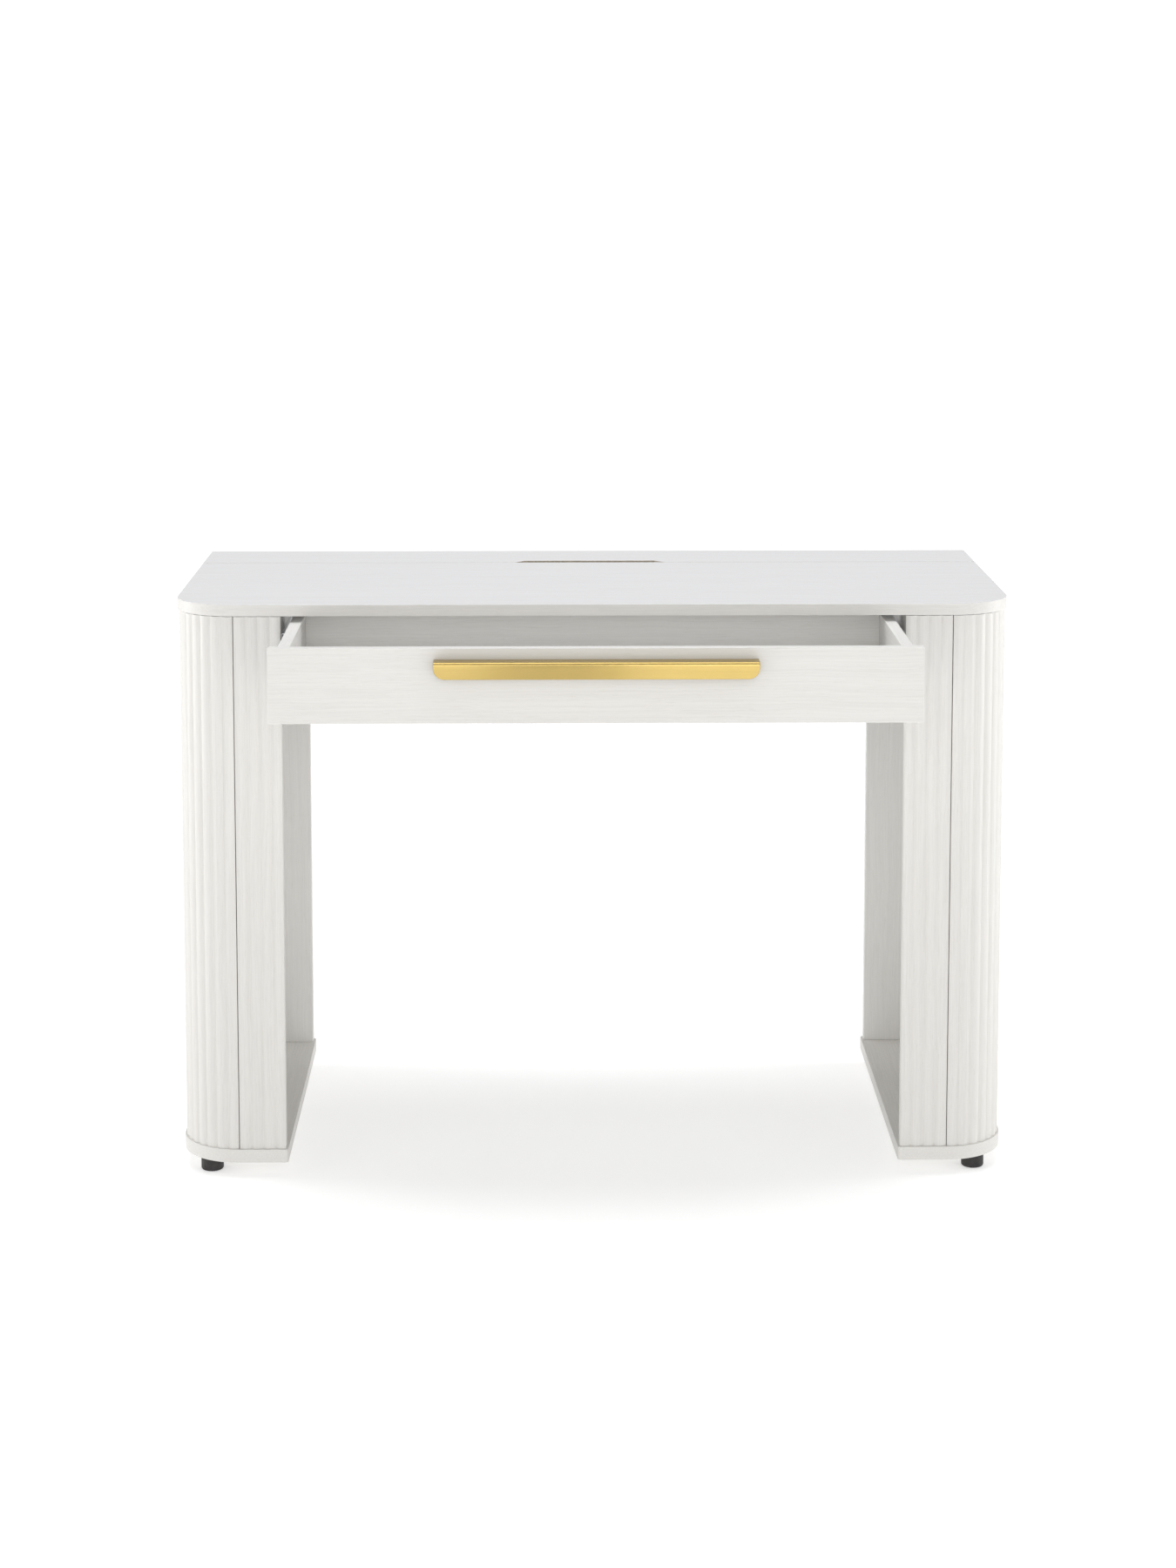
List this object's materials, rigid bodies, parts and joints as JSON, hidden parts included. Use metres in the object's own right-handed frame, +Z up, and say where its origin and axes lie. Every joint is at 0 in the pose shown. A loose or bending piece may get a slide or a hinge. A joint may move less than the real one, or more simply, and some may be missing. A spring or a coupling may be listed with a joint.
{
  "type": "manicure table",
  "caption": "Manicure table with a thin round-cornered top, reeded curved pedestals, a wide slide-out drawer with a gold lip pull and a hinged rear cable flap.",
  "frame": {"origin": "on the floor, at the centre of the four feet and of the closed top", "axes": "+X to the user's right, +Y away from the drawer to the hinged rear flap, +Z up"},
  "size_m": [1.1, 0.752, 0.77],
  "materials": {
    "laminate": "off-white wood-grain laminate, satin",
    "board": "unfaced pale board",
    "black_plastic": "matt black",
    "rubber": "soft black",
    "gold": "brushed and anodised champagne gold",
    "zinc": "bright zinc plate",
    "beech": "plain fluted beech"
  },
  "bodies": {
    "carcass": {"tabletop": "laminate", "left_base_plate": "laminate", "right_base_plate": "laminate", "left_side_panel": "laminate", "right_side_panel": "laminate", "left_reeded_shell": "laminate", "right_reeded_shell": "laminate", "left_front_stile": "laminate", "right_front_stile": "laminate", "left_back_panel": "laminate", "right_back_panel": "laminate", "left_corner_post": "laminate", "right_corner_post": "laminate", "left_corner_ribs": "laminate", "right_corner_ribs": "laminate", "left_apron": "laminate", "right_apron": "laminate", "back_rail": "laminate", "trough_divider": "laminate", "trough_floor": "laminate", "flap_ledgers": "board", "feet": "black_plastic", "foot_studs": "zinc", "base_screws": "zinc", "top_dowels": "beech", "cam_locks": "zinc", "cam_bolts": "zinc", "left_slide_cabinet_member": "zinc", "right_slide_cabinet_member": "zinc", "slide_cabinet_screws": "zinc", "hinge_fixed_leaves": "zinc", "hinge_pins": "zinc", "hinge_fixed_screws": "zinc", "flap_bumpers": "rubber"},
    "flap": {"flap_board": "laminate", "hinge_flap_leaves": "zinc", "hinge_flap_screws": "zinc"},
    "left_slide_middle": {"left_slide_middle_member": "zinc", "left_slide_balls": "zinc"},
    "right_slide_middle": {"right_slide_middle_member": "zinc", "right_slide_balls": "zinc"},
    "drawer": {"drawer_front": "laminate", "drawer_left_side": "laminate", "drawer_right_side": "laminate", "drawer_back": "laminate", "drawer_bottom": "laminate", "drawer_handle": "gold", "handle_screws": "zinc", "drawer_corner_screws": "zinc", "drawer_front_dowels": "beech", "left_slide_drawer_member": "zinc", "right_slide_drawer_member": "zinc", "slide_drawer_screws": "zinc"}
  },
  "joints": [
    {"name": "drawer_slide", "type": "slide", "parent": "carcass", "child": "drawer", "axis": [0, -1, 0], "range_m": [-0.23, 0.06]},
    {"name": "left_middle_slide", "type": "slide", "parent": "carcass", "child": "left_slide_middle", "axis": [0, -1, 0], "range_m": [-0.115, 0.03]},
    {"name": "right_middle_slide", "type": "slide", "parent": "carcass", "child": "right_slide_middle", "axis": [0, -1, 0], "range_m": [-0.115, 0.03]},
    {"name": "flap_hinge", "type": "hinge", "parent": "carcass", "child": "flap", "pos_m": [0, 0.2455, 0.7515], "axis": [-1, 0, 0], "range_deg": [0, 100]}
  ],
  "couplings": [
    {"joint": "left_middle_slide", "follows": "drawer_slide", "ratio": 0.5},
    {"joint": "right_middle_slide", "follows": "drawer_slide", "ratio": 0.5}
  ]
}
